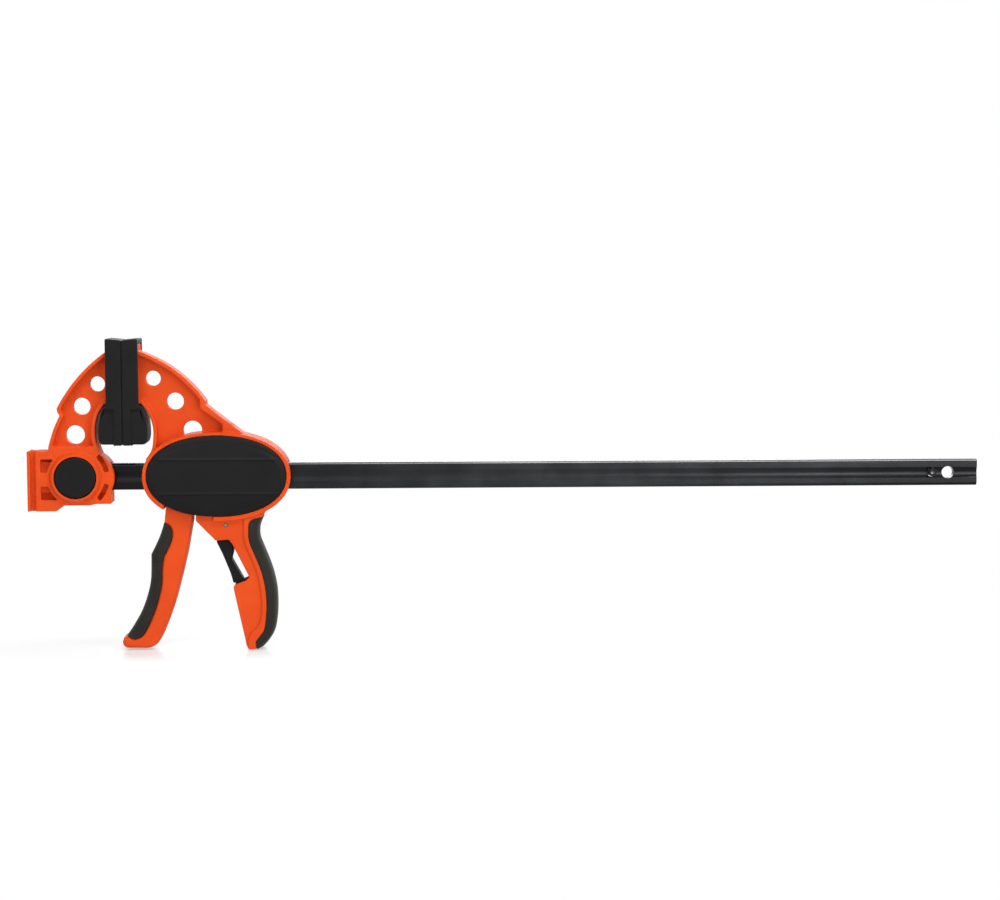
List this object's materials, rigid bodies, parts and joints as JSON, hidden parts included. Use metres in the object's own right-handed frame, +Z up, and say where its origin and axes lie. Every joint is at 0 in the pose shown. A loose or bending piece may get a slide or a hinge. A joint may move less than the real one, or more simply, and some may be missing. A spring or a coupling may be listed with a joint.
{
  "type": "quick release bar clamp",
  "caption": "One-handed bar clamp: a squeeze lever walks the jaw along a flat steel bar, a trigger frees it, and the fixed jaw comes off by a push button to spread instead of clamp.",
  "frame": {"origin": "on the centre line of the bar, in the plane where the two pads meet when the clamp is closed", "axes": "+X along the bar, from the fixed jaw past the moving jaw to the stop pin; +Y across the clamp, away from the side with the release button; +Z up, from the handles to the pads"},
  "size_m": [0.6795, 0.034, 0.2211],
  "materials": {
    "body_nylon": "glass-filled nylon moulding, fine spark-eroded grain, dull satin",
    "grip_rubber": "soft over-moulded thermoplastic rubber, matt",
    "pad_rubber": "push-on non-marring rubber pad, matt",
    "cover_plastic": "black nylon moulding, fine grain",
    "bar_steel": "cold-rolled steel, black oxide, oiled",
    "pin_steel": "zinc plated steel",
    "plate_steel": "hardened spring steel plate",
    "spring_steel": "drawn spring wire"
  },
  "bodies": {
    "base": {"bar": "bar_steel", "stop_pin": "bar_steel", "fixed_jaw": "body_nylon", "fixed_jaw_pad": "pad_rubber", "button_spring": "spring_steel"},
    "button": {"release_button": "cover_plastic", "lock_bridge": "cover_plastic", "lock_pin": "pin_steel"},
    "carriage": {"clamp_body": "body_nylon", "moving_jaw_pad": "pad_rubber", "front_cover": "cover_plastic", "rear_cover": "cover_plastic", "handle_grip": "grip_rubber", "lever_pivot_pin": "pin_steel", "trigger_pin": "pin_steel", "drive_spring": "spring_steel", "brake_spring": "spring_steel"},
    "lever": {"squeeze_lever": "body_nylon", "lever_grip": "grip_rubber"},
    "drive": {"drive_plate": "plate_steel"},
    "brake": {"brake_plate": "plate_steel"},
    "trigger": {"release_trigger": "cover_plastic"}
  },
  "joints": [
    {"name": "button_press", "type": "slide", "parent": "base", "child": "button", "axis": [0, 1, 0], "range_m": [0, 0.004], "stiffness_N_per_m": 400, "springref_m": -0.003, "deforming": ["button_spring"]},
    {"name": "jaw_slide", "type": "slide", "parent": "base", "child": "carriage", "axis": [1, 0, 0], "range_m": [0, 0.4572]},
    {"name": "lever_squeeze", "type": "hinge", "parent": "carriage", "child": "lever", "pos_m": [0.04, 0, 0.016], "axis": [0, -1, 0], "range_deg": [0, 16], "stiffness_Nm_per_rad": 1, "springref_deg": -14.32},
    {"name": "drive_push", "type": "slide", "parent": "carriage", "child": "drive", "axis": [1, 0, 0], "range_m": [0, 0.009], "deforming": ["drive_spring"]},
    {"name": "trigger_pull", "type": "hinge", "parent": "carriage", "child": "trigger", "pos_m": [0.0711, 0, -0.0341], "axis": [0, -1, 0], "range_deg": [0, 7], "stiffness_Nm_per_rad": 0.6, "springref_deg": -14.32},
    {"name": "brake_rock", "type": "hinge", "parent": "carriage", "child": "brake", "pos_m": [0.0715, 0, -0.01172], "axis": [0, 1, 0], "range_deg": [0, 8], "deforming": ["brake_spring"]}
  ],
  "couplings": [
    {"joint": "drive_push", "follows": "lever_squeeze", "m_per_rad": 0.0318},
    {"joint": "brake_rock", "follows": "trigger_pull", "ratio": 1.1}
  ]
}
